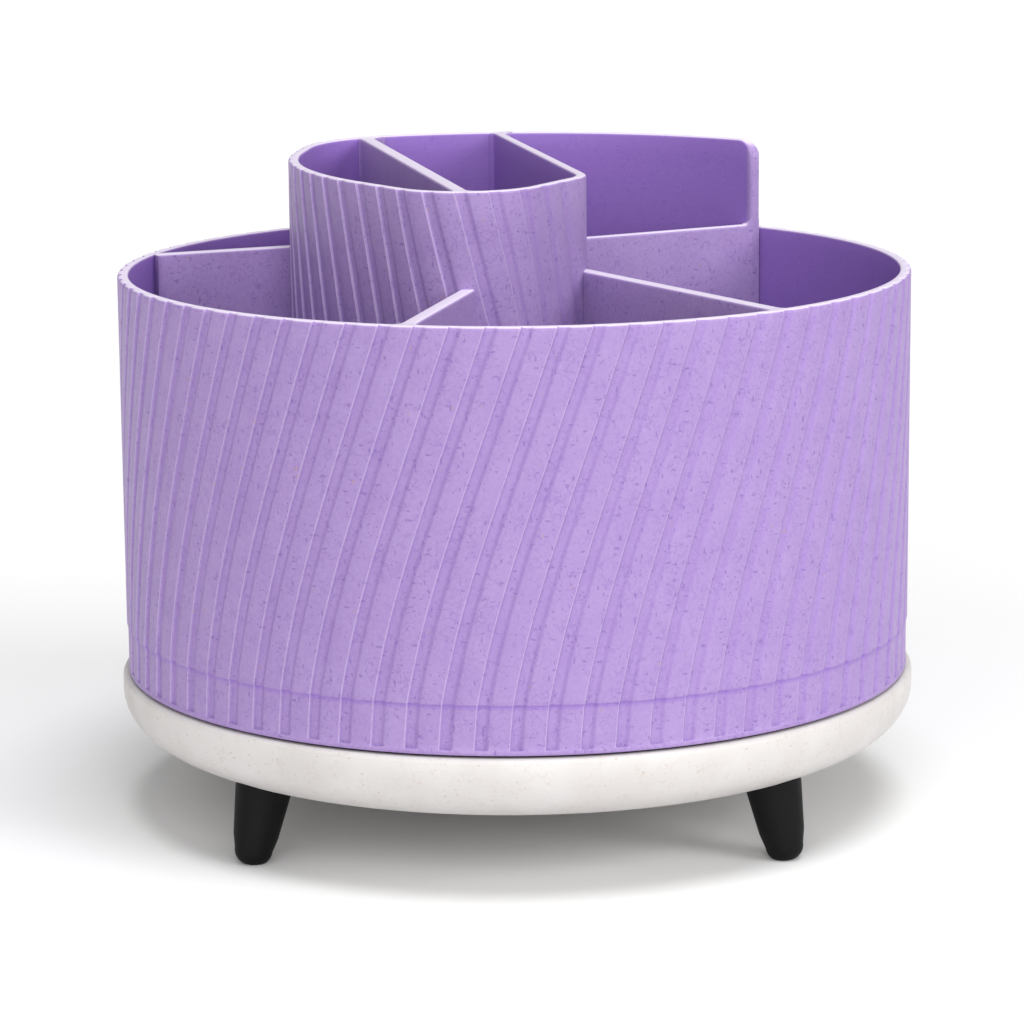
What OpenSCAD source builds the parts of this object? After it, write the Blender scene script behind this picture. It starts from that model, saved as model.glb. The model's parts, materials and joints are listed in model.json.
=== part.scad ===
// Rotating desk organizer: a round drum with a tall D-shaped insert and low dividers,
// carried by a ball turntable on a shallow round base with four splayed feet.
// Origin: on the desk, under the turntable's axis. +Z is up, -Y is the front.

/* [Drum] */
// Outside diameter of the round drum
drum_d = 156; // [150:1:200]
// Height of the drum's rim above its lower edge
drum_h = 79; // [60:0.5:110]
// Thickness of the drum's wall
drum_wall = 2.2; // [1.8:0.1:3]
// Thickness of the drum's floor
drum_floor = 2.4; // [2.4:0.1:4]
// Height of the plain band between the lower edge and the crease
skirt_h = 9.4; // [8.4:0.1:14]
// How far the band draws in towards its lower end
skirt_taper = 0.5; // [0.1:0.1:1.2]
// Height of the small lip along the lower edge
drum_lip_h = 1.0; // [0.5:0.1:2]

/* [Tall insert] */
// Height of the tall rim above the drum's rim
tall_rise = 18.5; // [8:0.5:40]
// Height of the low front wall above the drum's rim
low_wall_rise = 0.7; // [0:0.1:5]
// Thickness of the insert's walls
insert_wall = 2.2; // [1.8:0.1:3]
// Thickness of the insert's floor
insert_floor = 3; // [2.8:0.1:4]
// Gap between the insert and the drum's wall
insert_gap = 0.3; // [0.1:0.1:0.6]
// Where the tall wall ends, as an angle round the drum
tall_end_angle = 46.5; // [38:0.5:60]
// Direction of the low front wall
low_wall_angle = 28; // [15:1:35]
// Direction that the pen cup's straight right wall faces
right_wall_facing = 12.1; // [5:0.1:14]
// Place of the pen cup's rounded back corner, as an angle round the drum
back_corner_angle = 110.6; // [110:0.1:118]
// Radius of that back corner
back_corner_r = 27.5; // [27:0.5:32]
// Pen cup's front right corner: x, y and radius
front_right_arc = [1.6, -3.9, 12.7];
// Pen cup's broad left side: x, y and radius
left_side_arc = [28.6, 30.9, 74.4];
// Pen cup's rounded front: x, y and radius
front_arc = [-9.3, -14.3, 16.8];

/* [Dividers] */
// Thickness of every divider
divider_t = 3; // [1.8:0.1:3.6]
// Where the front left divider meets the drum, as an angle
front_left_angle = -104.9; // [-110:0.1:-95]
// Point inside the cup that the front left divider runs to
front_left_aim = [-7.5, -25.4];
// Where the front right divider meets the drum, as an angle
front_right_angle = -50.5; // [-60:0.1:-45]
// Point inside the cup that the front right divider runs to
front_right_aim = [10.6, -0.9];
// Where the left rear divider meets the drum, as an angle
left_rear_angle = 163.5; // [158:0.1:168]
// Point inside the cup that the left rear divider runs to
left_rear_aim = [-41.8, 34.1];
// Point that the cup's own divider passes through
cup_divider_point = [-19.8, 15.5];
// Direction of the cup's own divider
cup_divider_angle = -77.3; // [-85:0.1:-70]
// Length of the tongues that hold a divider in the floor
tongue_l = 8; // [5:1:12]
// Depth of those tongues
tongue_h = 1.5; // [1:0.1:1.6]
// Clearance round a tongue, and between a divider and the insert
tongue_gap = 0.1; // [0.05:0.05:0.3]

/* [Base] */
// How far the base stands out beyond the drum's wall
base_over = 1; // [1:0.1:4]
// Height of the base
base_h = 13.3; // [13:0.1:20]
// Height of the base's underside above the desk
base_lift = 14; // [10:0.5:30]
// Height of the rounded lower edge
edge_h = 10; // [6:0.5:10]
// Width of the rounded lower edge
edge_w = 13; // [8:0.5:16]
// Thickness of the base's wall and floor
base_wall = 2.8; // [2.6:0.1:3]
// Thickness of the base's lip
base_lip_t = 2.4; // [2:0.1:3]
// Thickness of the deck plate
deck_t = 3; // [3:0.1:3.6]
// How far the deck plate lies below the lip
deck_drop = 0.4; // [0.2:0.1:1]
// Gap between the deck plate and the lip
deck_gap = 0.4; // [0.2:0.1:0.8]
// Width of the ledge under the deck plate
ledge_w = 2.8; // [2:0.1:4]
// Gap between the lip and the drum's lower edge
drum_gap = 0.5; // [0.5:0.1:2]

/* [Feet] */
// How far in from the base's edge a foot's centre lies
foot_inset = 10.5; // [10:0.1:16]
// How much a foot leans outwards
foot_splay = 14; // [0:1:16]
// Foot radius at the base's underside
foot_top_r = 5.4; // [4.5:0.1:6.5]
// How much the radius shrinks for each millimetre down
foot_taper = 0.12; // [0:0.01:0.12]
// Rounding of the foot's tip
foot_tip_r = 2.6; // [1:0.1:3]
// How far a foot goes up into its socket
foot_embed = 5; // [4:0.1:5.4]
// Clearance of a foot in its socket
foot_gap = 0.1; // [0.05:0.05:0.3]
// Wall of the socket round and over a foot
socket_wall = 1.8; // [1.5:0.1:2]

/* [Turntable] */
// Ball diameter
ball_d = 3; // [2.5:0.5:3]
// Number of balls
ball_count = 24; // [12:1:30]
// Diameter of the circle through the balls' centres
ball_pcd = 88; // [80:1:106]
// Running clearance between a ball and its groove
ball_gap = 0.06; // [0.03:0.01:0.1]
// Thickness of each race
race_t = 1.4; // [1.4:0.1:2]
// Depth of the groove in each race
groove_depth = 0.6; // [0.4:0.1:0.7]
// Width of each race inside the ball circle
race_in_w = 10; // [9:0.5:12]
// Width of each race outside the ball circle
race_out_w = 4; // [3:0.5:6]
// Thickness of the ball cage
cage_t = 1; // [0.8:0.1:1.2]
// Width of the ball cage
cage_w = 7; // [6:0.5:8]
// Clearance of a ball in its pocket
pocket_gap = 0.1; // [0.05:0.05:0.2]
// Diameter of the hub under the drum
hub_d = 12; // [10:0.5:14]
// Running clearance between the hub and its bush
hub_gap = 0.06; // [0.02:0.01:0.1]
// Wall of the bush
bush_wall = 2; // [1.5:0.1:3]
// Width of the bush's flange
bush_flange_w = 3; // [2:0.1:4]
// Thickness of the bush's flange
bush_flange_t = 1; // [0.8:0.1:1.4]
// End play under the bush
end_play = 0.2; // [0.1:0.05:0.4]
// Washer radius beyond the hub
washer_over = 3; // [2:0.5:5]
// Washer thickness
washer_t = 1; // [0.8:0.1:1.5]

/* [Fasteners] */
// Shank diameter of the small screws
screw_d = 3; // [2.5:0.1:3.6]
// Head diameter of the small screws
head_d = 5.6; // [5:0.1:6]
// Head height of the small screws
head_h = 1.4; // [1.2:0.1:1.6]
// Clearance round a screw that passes through a hole
hole_gap = 0.2; // [0.1:0.05:0.4]
// Shank diameter of the race screws
race_screw_d = 2.5; // [2:0.1:3]
// Length of the race screws below the race
race_screw_l = 2.4; // [2:0.1:2.5]
// Shank diameter of the pivot screw
pivot_d = 4; // [3:0.5:5]
// Length of the pivot screw in the hub
pivot_l = 9; // [6:0.5:9]

/* [Hidden] */
$fn = 72;
arc_step = 6;          // degrees between the points of an outline's arcs
over = 0.01;           // how far a cutter runs past the face that it opens
far = 400;             // larger than the whole object
drum_r = drum_d / 2;
drum_in_r = drum_r - drum_wall;
insert_r = drum_in_r - insert_gap;
base_r = drum_r + base_over;
lip_z = base_lift + base_h;
deck_top = lip_z - deck_drop;
deck_bottom = deck_top - deck_t;
drum_z = lip_z + drum_gap;
floor_top = drum_z + skirt_h;
floor_bottom = floor_top - drum_floor;
rim_z = drum_z + drum_h;
tall_z = rim_z + tall_rise;
low_wall_z = rim_z + low_wall_rise;
cup_floor_top = floor_top + insert_floor;
lip_in_r = base_r - base_lip_t;
deck_r = lip_in_r - deck_gap;
ledge_r = lip_in_r - ledge_w;
bowl_floor_top = base_lift + base_wall;
flat_r = base_r - edge_w;
foot_r = base_r - foot_inset;
// Turntable heights: lower race, balls, upper race, then the seat under the drum's floor
ball_r = ball_d / 2;
lower_race_top = deck_top + race_t;
ball_z = lower_race_top - groove_depth + ball_gap + ball_r;
upper_race_bottom = 2 * ball_z - lower_race_top;
seat_bottom = upper_race_bottom + race_t;
race_in_r = ball_pcd / 2 - race_in_w;
race_out_r = ball_pcd / 2 + race_out_w;
race_screw_r = (race_in_r + ball_pcd / 2 - cage_w / 2) / 2;
hub_r = hub_d / 2;
hub_bottom = deck_bottom - end_play;
deck_boss_r = screw_d / 2 + 2.5;
deck_screw_r = deck_r - 23;
counterbore_h = head_h + 0.1;
deck_screw_top = deck_bottom - 1;
insert_screw_top = floor_top + insert_floor - 0.8;
insert_screw_out_r = race_out_r + head_d / 2 + 6;
insert_screw_in_r = hub_r + 17;
insert_screw_places = [
    insert_screw_out_r * [cos(126), sin(126)],
    insert_screw_out_r * [cos(70), sin(70)],
    insert_screw_in_r * [cos(188), sin(188)]
];
lilac = [0.66, 0.55, 0.80];
pale_lilac = [0.72, 0.62, 0.84];
stone = [0.90, 0.88, 0.86];
black_satin = [0.10, 0.10, 0.10];
steel = [0.70, 0.71, 0.73];
acetal = [0.93, 0.92, 0.88];

// ---- Outlines -------------------------------------------------------------

// Points along an arc from angle a0 to a1
function arc_points(c, r, a0, a1) =
    let (n = max(1, ceil(abs(a1 - a0) / arc_step)))
    [for (i = [0:n]) [c[0], c[1]] + r * [cos(a0 + (a1 - a0) * i / n), sin(a0 + (a1 - a0) * i / n)]];

// Facing angle of the straight side that runs from arc p to arc q, counter-clockwise
function side_facing(p, q) =
    let (d = [q[0] - p[0], q[1] - p[1]]) atan2(d[1], d[0]) - acos((p[2] - q[2]) / norm(d));

// The same angle, turned on until it is not before start
function turned_past(a, start) = a + 360 * ceil((start - a) / 360);

// Outline that runs round a list of arcs like a belt, drawn in by inset
function belt(arcs, inset) = [
    for (i = [0:len(arcs) - 1])
        let (
            c = arcs[i],
            a0 = side_facing(arcs[(i + len(arcs) - 1) % len(arcs)], c),
            a1 = turned_past(side_facing(c, arcs[(i + 1) % len(arcs)]), a0)
        )
        each arc_points(c, c[2] - inset, a0, a1)
];

// Arc of radius r that touches the side facing n1 at distance k1 and the one facing n2 at k2
function corner_arc(n1, k1, n2, k2, r) =
    let (det = n1[0] * n2[1] - n1[1] * n2[0], u = k1 - r, v = k2 - r)
    [(u * n2[1] - v * n1[1]) / det, (n1[0] * v - n2[0] * u) / det, r];

right_facing = [cos(right_wall_facing), sin(right_wall_facing)];
back_facing = [cos(back_corner_angle), sin(back_corner_angle)];
back_left_arc = concat((insert_r - back_corner_r) * back_facing, [back_corner_r]);
// Turning point outside the insert's circle, where the right wall would meet the back
back_right_arc = corner_arc(
    right_facing,
    right_facing * [front_right_arc[0], front_right_arc[1]] + front_right_arc[2],
    back_facing, insert_r, 4
);
cup_arcs = [front_right_arc, back_right_arc, back_left_arc, left_side_arc, front_arc];
tall_end = insert_r * [cos(tall_end_angle), sin(tall_end_angle)];

// Plan of the pen cup, drawn in by inset from its outer face
module cup_plan(inset) {
    intersection() {
        circle(r = insert_r - inset);
        polygon(belt(cup_arcs, inset));
    }
}

// Plan of the rear compartment, from its low front wall to the back
module rear_plan(inset) {
    intersection() {
        circle(r = insert_r - inset);
        translate(tall_end) rotate(low_wall_angle)
            translate([15 - insert_r, inset]) square([insert_r, insert_r]);
    }
}

// Plan of the insert, grown by gap where something else must clear it
module insert_plan(gap = 0) {
    cup_plan(-gap);
    rear_plan(-gap);
}

module insert_hollows() {
    cup_plan(insert_wall);
    difference() {
        rear_plan(insert_wall);
        cup_plan(0);
    }
}

// ---- Dividers -------------------------------------------------------------

// Frame of a plate that starts at angle a on the drum's inner face and runs towards aim
module along_plate(a, aim) {
    start = drum_in_r * [cos(a), sin(a)];
    translate(start) rotate(atan2(aim[1] - start[1], aim[0] - start[0])) children();
}

function plate_length(a, aim) = norm(aim - drum_in_r * [cos(a), sin(a)]);

module plate_plan(a, aim) {
    difference() {
        intersection() {
            circle(r = drum_in_r);
            along_plate(a, aim) translate([-divider_t, -divider_t / 2])
                square([plate_length(a, aim) + divider_t, divider_t]);
        }
        insert_plan(tongue_gap);
    }
}

// The two tongues under a plate, or their pockets when gap is more than 0
module tongues(a, aim, gap = 0) {
    for (part_way = [0.25, 0.65])
        along_plate(a, aim)
            translate([plate_length(a, aim) * part_way - tongue_l / 2 - gap, -divider_t / 2 - gap,
                floor_top - tongue_h - gap])
                cube([tongue_l + 2 * gap, divider_t + 2 * gap, tongue_h + gap + over]);
}

module low_divider(a, aim) {
    translate([0, 0, floor_top]) linear_extrude(rim_z - floor_top) plate_plan(a, aim);
    tongues(a, aim);
}

module cup_divider_frame() {
    translate(cup_divider_point) rotate(cup_divider_angle) children();
}

module cup_divider_tongues(gap = 0) {
    for (side = [-1, 1])
        cup_divider_frame()
            translate([side * 25 - tongue_l / 2 - gap, -divider_t / 2 - gap,
                cup_floor_top - tongue_h - gap])
                cube([tongue_l + 2 * gap, divider_t + 2 * gap, tongue_h + gap + over]);
}

// ---- Fasteners ------------------------------------------------------------

// Pan-head screw: head on z = 0, shank up to length l
module pan_screw(l, d = screw_d, hd = head_d, hh = head_h) {
    translate([0, 0, -hh]) cylinder(d1 = hd - 0.8, d2 = hd, h = hh * 0.4);
    translate([0, 0, -hh * 0.6]) cylinder(d = hd, h = hh * 0.6);
    cylinder(d = d, h = l);
}

// Hex recess in the middle of a pan head
module drive_recess(hh = head_h) {
    translate([0, 0, -hh - over]) cylinder(d = screw_d * 0.7, h = hh * 0.6, $fn = 6);
}

// Countersunk screw: flush head with its top at z = 0, shank below
module race_screw() {
    difference() {
        union() {
            translate([0, 0, -race_screw_d / 2])
                cylinder(d1 = race_screw_d, d2 = race_screw_d * 2, h = race_screw_d / 2);
            translate([0, 0, -race_t - race_screw_l]) cylinder(d = race_screw_d, h = race_t + race_screw_l);
        }
        translate([0, 0, -0.7]) cylinder(d = race_screw_d * 0.7, h = 1, $fn = 6);
    }
}

module race_hole() {
    translate([0, 0, -race_screw_d / 2 - hole_gap])
        cylinder(d1 = race_screw_d, d2 = race_screw_d * 2 + 2 * hole_gap, h = race_screw_d / 2 + hole_gap + over);
    translate([0, 0, -race_t - over]) cylinder(d = race_screw_d + 2 * hole_gap, h = race_t);
}

module four_round(r, start) {
    for (i = [0:3]) rotate([0, 0, start + 90 * i]) translate([r, 0, 0]) children();
}

// ---- Drum and what turns with it -------------------------------------------

module drum_body() {
    rotate_extrude() polygon([
        [drum_in_r - skirt_taper, drum_z],
        [drum_r - skirt_taper / 4, drum_z],
        [drum_r - skirt_taper / 4, drum_z + drum_lip_h],
        [drum_r - skirt_taper, drum_z + drum_lip_h],
        [drum_r, floor_top],
        [drum_r, rim_z],
        [drum_in_r, rim_z],
        [drum_in_r, floor_top],
        [0, floor_top],
        [0, hub_bottom],
        [hub_r, hub_bottom],
        [hub_r, floor_bottom],
        [race_in_r, floor_bottom],
        [race_in_r, seat_bottom],
        [race_out_r, seat_bottom],
        [race_out_r, floor_bottom],
        [drum_in_r - skirt_taper, floor_bottom]
    ]);
}

module drum_shell() {
    color(lilac) difference() {
        drum_body();
        translate([0, 0, hub_bottom - over]) cylinder(d = pivot_d, h = pivot_l + over);
        four_round(race_screw_r, 0) translate([0, 0, seat_bottom - over])
            cylinder(d = race_screw_d, h = race_screw_l + over);
        for (p = insert_screw_places) translate([p[0], p[1], floor_bottom - over])
            cylinder(d = screw_d + 2 * hole_gap, h = drum_floor + 2 * over);
        tongues(front_left_angle, front_left_aim, tongue_gap);
        tongues(front_right_angle, front_right_aim, tongue_gap);
        tongues(left_rear_angle, left_rear_aim, tongue_gap);
    }
}

module tall_insert() {
    color(lilac) difference() {
        union() {
            translate([0, 0, floor_top]) linear_extrude(insert_floor) insert_plan();
            translate([0, 0, floor_top]) linear_extrude(low_wall_z - floor_top) difference() {
                insert_plan();
                insert_hollows();
            }
            translate([0, 0, floor_top]) linear_extrude(tall_z - floor_top) {
                difference() {
                    cup_plan(0);
                    cup_plan(insert_wall);
                }
                difference() {
                    rear_plan(0);
                    circle(r = insert_r - insert_wall);
                }
            }
        }
        for (p = insert_screw_places) translate([p[0], p[1], floor_top - over])
            cylinder(d = screw_d, h = insert_screw_top - floor_top + over);
        cup_divider_tongues(tongue_gap);
    }
}

module cup_divider() {
    color(pale_lilac) {
        translate([0, 0, cup_floor_top]) linear_extrude(tall_z - cup_floor_top) intersection() {
            cup_plan(insert_wall);
            cup_divider_frame() translate([-far / 2, -divider_t / 2]) square([far, divider_t]);
        }
        cup_divider_tongues();
    }
}

module front_left_divider() {
    color(pale_lilac) low_divider(front_left_angle, front_left_aim);
}

module front_right_divider() {
    color(pale_lilac) low_divider(front_right_angle, front_right_aim);
}

module left_rear_divider() {
    color(pale_lilac) low_divider(left_rear_angle, left_rear_aim);
}

module insert_screws() {
    color(steel) for (p = insert_screw_places) translate([p[0], p[1], floor_bottom]) difference() {
        pan_screw(insert_screw_top - floor_bottom);
        drive_recess();
    }
}

// Flat ring with a ball groove, lying on z = 0 with its groove up
module race() {
    difference() {
        rotate_extrude() difference() {
            translate([race_in_r, 0]) square([race_out_r - race_in_r, race_t]);
            translate([ball_pcd / 2, race_t - groove_depth + ball_gap + ball_r]) circle(r = ball_r + ball_gap);
        }
        four_round(race_screw_r, 0) translate([0, 0, race_t]) race_hole();
    }
}

module upper_race() {
    color(steel) translate([0, 0, seat_bottom]) mirror([0, 0, 1]) race();
}

module upper_race_screws() {
    color(steel) four_round(race_screw_r, 0) translate([0, 0, upper_race_bottom])
        mirror([0, 0, 1]) race_screw();
}

module pivot_screw() {
    color(steel) translate([0, 0, hub_bottom - washer_t]) difference() {
        pan_screw(pivot_l + washer_t, pivot_d, pivot_d * 1.9, 2);
        drive_recess(2);
    }
}

module pivot_washer() {
    color(steel) translate([0, 0, hub_bottom - washer_t]) difference() {
        cylinder(r = hub_r + washer_over, h = washer_t);
        translate([0, 0, -over]) cylinder(d = pivot_d + 2 * hole_gap, h = washer_t + 2 * over);
    }
}

// ---- Ball turntable ---------------------------------------------------------

module balls_round() {
    for (i = [0:ball_count - 1]) rotate([0, 0, 360 * i / ball_count])
        translate([ball_pcd / 2, 0, ball_z]) children();
}

module ball_cage() {
    color(acetal) difference() {
        translate([0, 0, ball_z - cage_t / 2]) rotate_extrude()
            translate([ball_pcd / 2 - cage_w / 2, 0]) square([cage_w, cage_t]);
        balls_round() translate([0, 0, -cage_t]) cylinder(r = ball_r + pocket_gap, h = 2 * cage_t);
    }
}

module bearing_balls() {
    color(steel) balls_round() sphere(r = ball_r);
}

module lower_race() {
    color(steel) translate([0, 0, deck_top]) race();
}

module lower_race_screws() {
    color(steel) four_round(race_screw_r, 0) translate([0, 0, lower_race_top]) race_screw();
}

module pivot_bush() {
    color(acetal) difference() {
        union() {
            translate([0, 0, deck_bottom]) cylinder(r = hub_r + hub_gap + bush_wall, h = deck_t);
            translate([0, 0, deck_top])
                cylinder(r = hub_r + hub_gap + bush_wall + bush_flange_w, h = bush_flange_t);
        }
        translate([0, 0, deck_bottom - over]) cylinder(r = hub_r + hub_gap, h = deck_t + bush_flange_t + 2 * over);
    }
}

// ---- Base -------------------------------------------------------------------

module base_deck() {
    color(stone) difference() {
        union() {
            translate([0, 0, deck_bottom]) cylinder(r = deck_r, h = deck_t);
            four_round(deck_screw_r, 0) translate([0, 0, bowl_floor_top])
                cylinder(r = deck_boss_r, h = deck_bottom - bowl_floor_top + over);
        }
        translate([0, 0, deck_bottom - over]) cylinder(r = hub_r + hub_gap + bush_wall, h = deck_t + 2 * over);
        four_round(race_screw_r, 0) translate([0, 0, deck_top - race_screw_l])
            cylinder(d = race_screw_d, h = race_screw_l + over);
        four_round(deck_screw_r, 0) translate([0, 0, bowl_floor_top - over])
            cylinder(d = screw_d, h = deck_screw_top - bowl_floor_top + over);
    }
}

// Outer profile of the base: flat underside, elliptical lower edge, upright side
function base_side(inset) = [
    for (i = [0:12]) let (t = 90 * i / 12)
        [flat_r + (edge_w - inset) * sin(t), base_lift + edge_h - (edge_h - inset) * cos(t)]
];

module base_solid() {
    rotate_extrude() polygon(concat(
        [[0, base_lift]], base_side(0),
        [[base_r, lip_z - 0.8], [base_r - 0.25, lip_z - 0.25], [base_r - 0.8, lip_z], [0, lip_z]]
    ));
}

// Hollow of the bowl: below the ledge it follows the outer profile one wall further in
module bowl_hollow() {
    rotate_extrude() intersection() {
        polygon(concat([[0, bowl_floor_top]], base_side(base_wall), [[base_r - base_wall, far], [0, far]]));
        union() {
            square([ledge_r, deck_bottom + over]);
            translate([0, deck_bottom]) square([lip_in_r, far]);
        }
    }
    translate([0, 0, deck_bottom]) cylinder(r = lip_in_r, h = far);
}

// Frame of foot i: z runs up the foot's own axis from the base's underside
module at_foot(i) {
    rotate([0, 0, 45 + 90 * i]) translate([foot_r, 0, base_lift]) rotate([0, -foot_splay, 0]) children();
}

// Foot's shape round its own axis, grown by gap for its socket
module foot_body(gap) {
    tip_z = -base_lift / cos(foot_splay) - 0.35;
    tip_r = foot_top_r + foot_taper * tip_z;
    rotate_extrude() polygon(concat(
        [[0, tip_z]],
        arc_points([tip_r - foot_tip_r, tip_z + foot_tip_r], foot_tip_r, -90, 0),
        [[foot_top_r + foot_taper * foot_embed + gap, foot_embed + gap], [0, foot_embed + gap]]
    ));
}

module foot_screw_frame(i) {
    at_foot(i) translate([0, 0, foot_embed + foot_gap + socket_wall]) mirror([0, 0, 1]) children();
}

module base_bowl() {
    color(stone) difference() {
        union() {
            difference() {
                base_solid();
                bowl_hollow();
            }
            intersection() {
                base_solid();
                for (i = [0:3]) at_foot(i) translate([0, 0, -foot_embed])
                    cylinder(r = foot_top_r + foot_taper * foot_embed + foot_gap + socket_wall,
                        h = 2 * foot_embed + foot_gap + socket_wall);
            }
        }
        for (i = [0:3]) at_foot(i) foot_body(foot_gap);
        for (i = [0:3]) foot_screw_frame(i) translate([0, 0, -over])
            cylinder(d = screw_d + 2 * hole_gap, h = socket_wall + 1);
        four_round(deck_screw_r, 0) {
            translate([0, 0, base_lift - over]) cylinder(d = screw_d + 2 * hole_gap, h = base_wall + 2 * over);
            translate([0, 0, base_lift - over]) cylinder(d = head_d + 2 * hole_gap, h = counterbore_h + over);
        }
    }
}

module deck_screws() {
    color(steel) four_round(deck_screw_r, 0) translate([0, 0, base_lift + counterbore_h]) difference() {
        pan_screw(deck_screw_top - base_lift - counterbore_h);
        drive_recess();
    }
}

module foot(i) {
    color(black_satin) intersection() {
        difference() {
            at_foot(i) foot_body(0);
            foot_screw_frame(i) cylinder(d = screw_d, h = socket_wall + foot_embed + 6);
        }
        translate([-far / 2, -far / 2, 0]) cube(far);
    }
}

module foot_rear_right() { foot(0); }
module foot_rear_left() { foot(1); }
module foot_front_left() { foot(2); }
module foot_front_right() { foot(3); }

module foot_screws() {
    color(steel) for (i = [0:3]) foot_screw_frame(i) difference() {
        pan_screw(socket_wall + foot_embed + 5);
        drive_recess();
    }
}

drum_shell();
tall_insert();
cup_divider();
front_left_divider();
front_right_divider();
left_rear_divider();
insert_screws();
upper_race();
upper_race_screws();
pivot_screw();
pivot_washer();
ball_cage();
bearing_balls();
lower_race();
lower_race_screws();
pivot_bush();
base_deck();
base_bowl();
deck_screws();
foot_front_left();
foot_front_right();
foot_rear_left();
foot_rear_right();
foot_screws();
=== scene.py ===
"""Looks of a rotating desk organizer: fluted lilac drum and pen cup, off-white base, black feet.

Every shape is worked out in millimetres in the frame of the CAD model and put into its mesh in metres.
"""
import json
import math

import bmesh
import bpy
import numpy as np
from mathutils import Matrix, Vector


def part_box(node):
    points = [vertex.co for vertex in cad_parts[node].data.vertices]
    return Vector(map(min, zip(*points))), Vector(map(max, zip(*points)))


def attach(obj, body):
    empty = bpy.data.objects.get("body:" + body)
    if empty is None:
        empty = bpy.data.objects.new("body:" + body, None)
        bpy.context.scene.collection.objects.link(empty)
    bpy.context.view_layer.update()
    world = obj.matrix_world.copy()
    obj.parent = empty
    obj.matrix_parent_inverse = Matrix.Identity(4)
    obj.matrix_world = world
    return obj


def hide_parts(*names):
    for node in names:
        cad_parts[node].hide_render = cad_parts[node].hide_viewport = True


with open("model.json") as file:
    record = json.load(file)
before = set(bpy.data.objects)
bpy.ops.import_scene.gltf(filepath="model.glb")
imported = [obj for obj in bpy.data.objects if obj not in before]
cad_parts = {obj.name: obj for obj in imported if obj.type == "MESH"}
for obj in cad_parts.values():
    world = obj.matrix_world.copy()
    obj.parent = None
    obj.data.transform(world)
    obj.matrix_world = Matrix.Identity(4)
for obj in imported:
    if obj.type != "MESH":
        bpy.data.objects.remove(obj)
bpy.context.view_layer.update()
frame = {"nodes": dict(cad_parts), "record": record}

# ---- Sizes, in millimetres --------------------------------------------------

MM = 0.001


def box_mm(node):
    """Lowest and highest corner of a CAD node, in millimetres."""
    return [np.array(corner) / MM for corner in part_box(node)]


shell_low, shell_high = box_mm("drum_shell")
insert_low, insert_high = box_mm("tall_insert")
seat_high = box_mm("upper_race")[1][2]

DRUM_R = shell_high[0]
RIM_Z = shell_high[2]
HUB_Z = shell_low[2]
TALL_Z = insert_high[2]
FLOOR_Z = insert_low[2]
SKIRT_H = 9.4
DRUM_Z = FLOOR_Z - SKIRT_H
DRUM_WALL = 2.2
DRUM_IN_R = DRUM_R - DRUM_WALL
DRUM_FLOOR = 2.4
FLOOR_UNDER = FLOOR_Z - DRUM_FLOOR
INSERT_WALL = 2.2
INSERT_FLOOR = 3.0
INSERT_R = DRUM_IN_R - 0.3
LOW_WALL_Z = RIM_Z + 0.7
DIVIDER_T = 3.0
BASE_Z = box_mm("base_bowl")[0][2]
SEAT_IN_R, SEAT_OUT_R = 34, 48     # ring under the drum's floor that the upper race lies on
HUB_R = 6
PIVOT_R = 2
PIVOT_HOLE_TOP = 32.8

# ---- Meshes from arrays -----------------------------------------------------


def new_piece(name, points, faces, material, body, sharp=35, inner=None, painted_highlight=None):
    """Mesh object from points in millimetres and face arrays, smooth but for edges over sharp degrees.
    inner is painted shade: it is 1 on points that face into a hollow, and partly on the flutes' gentle sides
    and along the crease, where the material deepens the colour as shade; the highlight weight is 1 on a
    painted highlight along the flutes' left edges, where it lightens the colour."""
    counts = np.concatenate([np.full(len(f), f.shape[1]) for f in faces])
    corners = np.concatenate([f.ravel() for f in faces]).astype(np.int32)
    mesh = bpy.data.meshes.new(name)
    mesh.vertices.add(len(points))
    mesh.vertices.foreach_set("co", (points * MM).astype(np.float32).ravel())
    mesh.loops.add(len(corners))
    mesh.loops.foreach_set("vertex_index", corners)
    mesh.polygons.add(len(counts))
    mesh.polygons.foreach_set("loop_start", (np.cumsum(counts) - counts).astype(np.int32))
    mesh.update(calc_edges=True)
    mesh.validate()
    mesh.polygons.foreach_set("use_smooth", np.ones(len(mesh.polygons), bool))
    mesh.set_sharp_from_angle(angle=math.radians(sharp))
    # Painted shade and painted highlight go to the material as point weights
    for label, values in (("inner", inner), ("painted_highlight", painted_highlight)):
        if values is not None:
            mesh.attributes.new(label, "FLOAT", "POINT").data.foreach_set("value", values.astype(np.float32))
    mesh.materials.append(material)
    piece = bpy.data.objects.new(name, mesh)
    bpy.context.scene.collection.objects.link(piece)
    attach(piece, body)
    return piece


def grid_quads(rows, cols, wrap_rows=False, wrap_cols=False):
    """Quads of a grid of points stored row by row; a wrapped side joins its last line to its first."""
    r = np.arange(rows if wrap_rows else rows - 1)
    c = np.arange(cols if wrap_cols else cols - 1)
    r, c = np.meshgrid(r, c, indexing="ij")
    r2, c2 = (r + 1) % rows, (c + 1) % cols
    quads = np.stack([r * cols + c, r * cols + c2, r2 * cols + c2, r2 * cols + c], axis=-1)
    return quads.reshape(-1, 4)


def pole_fan(row_start, cols, pole, flip=False):
    """Triangles from one closed row of a grid to a single point."""
    a = row_start + np.arange(cols)
    b = row_start + (np.arange(cols) + 1) % cols
    p = np.full(cols, pole)
    return np.stack([b, a, p] if flip else [a, b, p], axis=-1)


def join_parts(parts):
    """One point array and one face list from several (points, faces) parts."""
    points, faces, base = [], [], 0
    for p, fs in parts:
        points.append(p)
        faces += [f + base for f in fs]
        base += len(p)
    return np.concatenate(points), faces


def smooth_step(x):
    """0 below 0, 1 above 1, and 3x^2 - 2x^3 between."""
    x = np.clip(x, 0, 1)
    return x * x * (3 - 2 * x)


def fillet(d, r):
    """How far a quarter round of radius r stands out at distance d from the corner."""
    gap = np.clip(r - d, 0, r)
    return r - np.sqrt(r * r - gap * gap)


# ---- Flutes -----------------------------------------------------------------

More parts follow.
